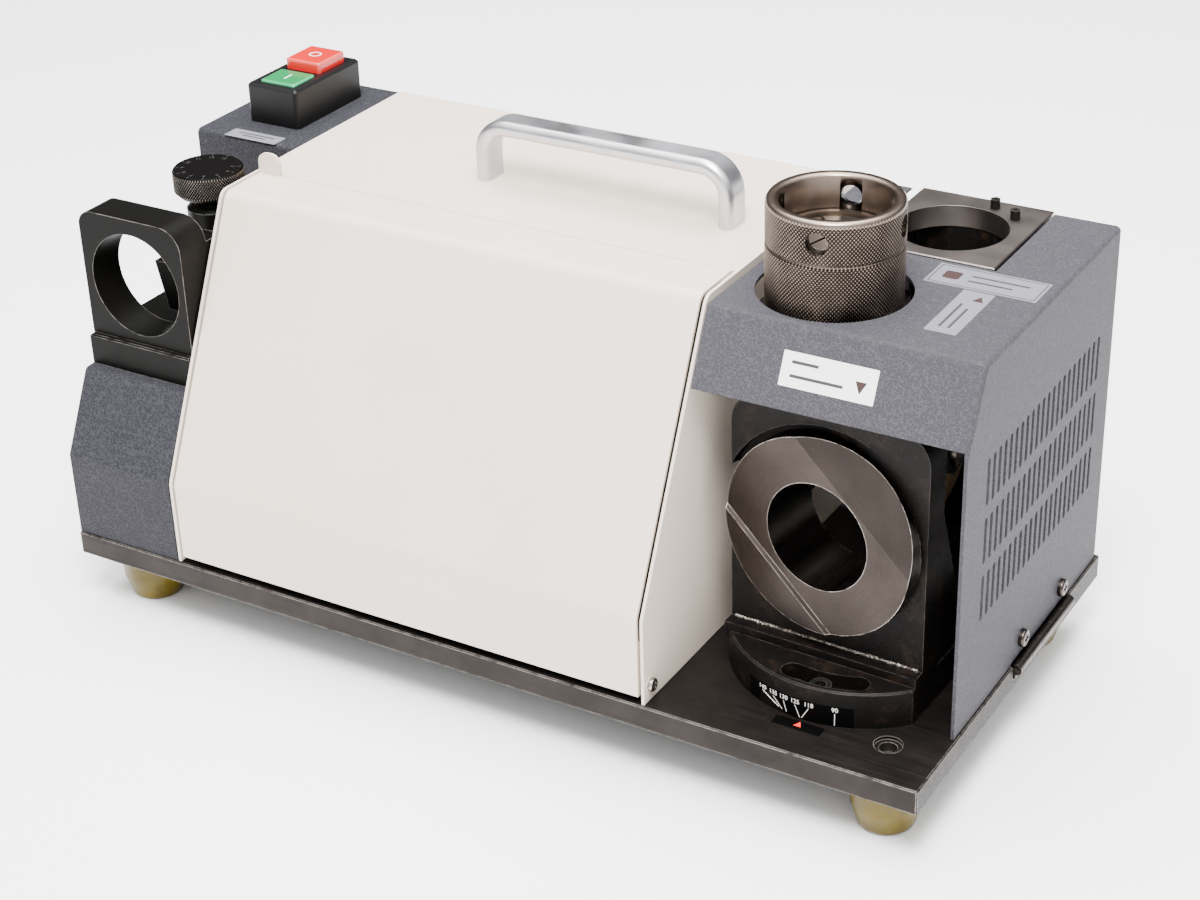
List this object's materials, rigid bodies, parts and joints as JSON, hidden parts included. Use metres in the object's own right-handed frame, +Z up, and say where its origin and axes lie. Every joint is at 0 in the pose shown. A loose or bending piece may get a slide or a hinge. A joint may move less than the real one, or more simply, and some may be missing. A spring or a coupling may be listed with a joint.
{
  "type": "drill bit sharpener",
  "caption": "Bench drill bit sharpener: hinged guard with collet chuck, swivelling grinding port, storage door, setting dial and motor-driven wheel.",
  "frame": {"origin": "centre of the base plate's underside", "axes": "+X to the operator's right along the plate, +Y to the back, +Z up"},
  "size_m": [0.4535, 0.2265, 0.251],
  "materials": {
    "ground_steel": "dark ground steel plate, lightly oiled",
    "amber_rubber": "translucent amber polyurethane",
    "zinc_screw": "bright zinc plate",
    "grey_wrinkle_paint": "fine wrinkle coat",
    "cream_powder_coat": "fine orange-peel powder coat",
    "black_plastic": "moulded, fine texture",
    "green_key": "gloss moulded",
    "red_key": "gloss moulded",
    "capacitor_can": "drawn can",
    "spring_steel": "drawn wire",
    "blackened_steel": "satin black oxide",
    "knurled_dark_steel": "diamond knurl, black oxide worn on the crests",
    "knurled_steel": "diamond knurl",
    "satin_steel": "ground satin",
    "satin_aluminium": "satin anodised",
    "cast_aluminium": "die cast",
    "black_cast_iron": "cast, oiled black",
    "hardened_steel": "hardened and ground",
    "rotor_laminations": "stacked laminations",
    "grinding_grit": "bonded grit on a steel core",
    "black_screw": "black oxide cap screw"
  },
  "bodies": {
    "frame": {"base_plate": "ground_steel", "feet": "amber_rubber", "foot_screws": "zinc_screw", "left_housing": "grey_wrinkle_paint", "cord_gland": "black_plastic", "run_capacitor": "capacitor_can", "switch_body": "black_plastic", "green_spring": "spring_steel", "red_spring": "spring_steel", "setting_base": "blackened_steel", "setting_block": "blackened_steel", "spindle_housing": "blackened_steel", "setting_screws": "black_screw", "middle_cover": "cream_powder_coat", "door_pivots": "zinc_screw", "carry_handle": "satin_aluminium", "handle_screws": "zinc_screw", "collet_rack": "black_plastic", "spare_collets": "hardened_steel", "motor_frame": "cast_aluminium", "motor_front_bell": "cast_aluminium", "motor_rear_bell": "cast_aluminium", "motor_bearings": "hardened_steel", "motor_cradle": "black_cast_iron", "cradle_screws": "black_screw", "bracket_pivot": "hardened_steel", "lock_screw": "black_screw", "hinge_plate_half": "zinc_screw", "hinge_pin": "zinc_screw", "rear_port_plate": "satin_steel", "rear_port_pins": "black_screw", "rear_port_bracket": "black_cast_iron", "bracket_screws": "black_screw", "rear_panel": "grey_wrinkle_paint"},
    "storage_door": {"storage_door": "cream_powder_coat"},
    "green_key": {"green_key": "green_key"},
    "red_key": {"red_key": "red_key"},
    "setting_knob": {"setting_knob": "knurled_dark_steel"},
    "drill_stop": {"drill_stop": "blackened_steel"},
    "spindle": {"motor_shaft": "hardened_steel", "rotor_core": "rotor_laminations", "cooling_fan": "black_plastic", "wheel_flange": "blackened_steel", "grinding_wheel": "grinding_grit", "wheel_nut": "blackened_steel"},
    "swivel": {"swivel_bracket": "black_cast_iron", "cam_ring": "satin_steel", "ring_screws": "black_screw"},
    "guard": {"guard_cover": "grey_wrinkle_paint", "hinge_cover_half": "zinc_screw", "hinge_screws": "zinc_screw", "chuck_seat": "satin_steel", "seat_pins": "hardened_steel"},
    "chuck": {"chuck_body": "knurled_steel", "chuck_collet": "hardened_steel"},
    "chuck_nut": {"chuck_nut": "knurled_steel"}
  },
  "joints": [
    {"name": "door_hinge", "type": "hinge", "parent": "frame", "child": "storage_door", "pos_m": [-0.033, -0.099, 0.0199], "axis": [1, 0, 0], "range_deg": [0, 88]},
    {"name": "green_press", "type": "slide", "parent": "frame", "child": "green_key", "axis": [0, 0, -1], "range_m": [0, 0.0035], "stiffness_N_per_m": 300, "springref_m": -0.003, "deforming": ["green_spring"]},
    {"name": "red_press", "type": "slide", "parent": "frame", "child": "red_key", "axis": [0, 0, -1], "range_m": [0, 0.0035], "stiffness_N_per_m": 300, "springref_m": -0.003, "deforming": ["red_spring"]},
    {"name": "knob_turn", "type": "hinge", "parent": "frame", "child": "setting_knob", "pos_m": [-0.1814, -0.03, 0.18], "axis": [0, 0, 1], "range_deg": [0, 330]},
    {"name": "stop_lift", "type": "slide", "parent": "frame", "child": "drill_stop", "axis": [0, 0, 1], "range_m": [0, 0.008]},
    {"name": "spindle_turn", "type": "hinge", "parent": "frame", "child": "spindle", "pos_m": [0, 0.038, 0.09], "axis": [1, 0, 0], "continuous": true},
    {"name": "bracket_swivel", "type": "hinge", "parent": "frame", "child": "swivel", "pos_m": [0.161, -0.023, 0.02], "axis": [0, 0, 1], "range_deg": [-14, 11]},
    {"name": "guard_hinge", "type": "hinge", "parent": "frame", "child": "guard", "pos_m": [0.2257, 0.032, 0.01], "axis": [0, 1, 0], "range_deg": [0, 95]},
    {"name": "chuck_lift", "type": "slide", "parent": "guard", "child": "chuck", "axis": [0, 0, 1], "range_m": [0, 0.06]},
    {"name": "nut_turn", "type": "hinge", "parent": "chuck", "child": "chuck_nut", "pos_m": [0.1395, -0.0128, 0.214], "axis": [0, 0, 1], "continuous": true}
  ],
  "couplings": [
    {"joint": "stop_lift", "follows": "knob_turn", "m_per_rad": 0.001388}
  ]
}
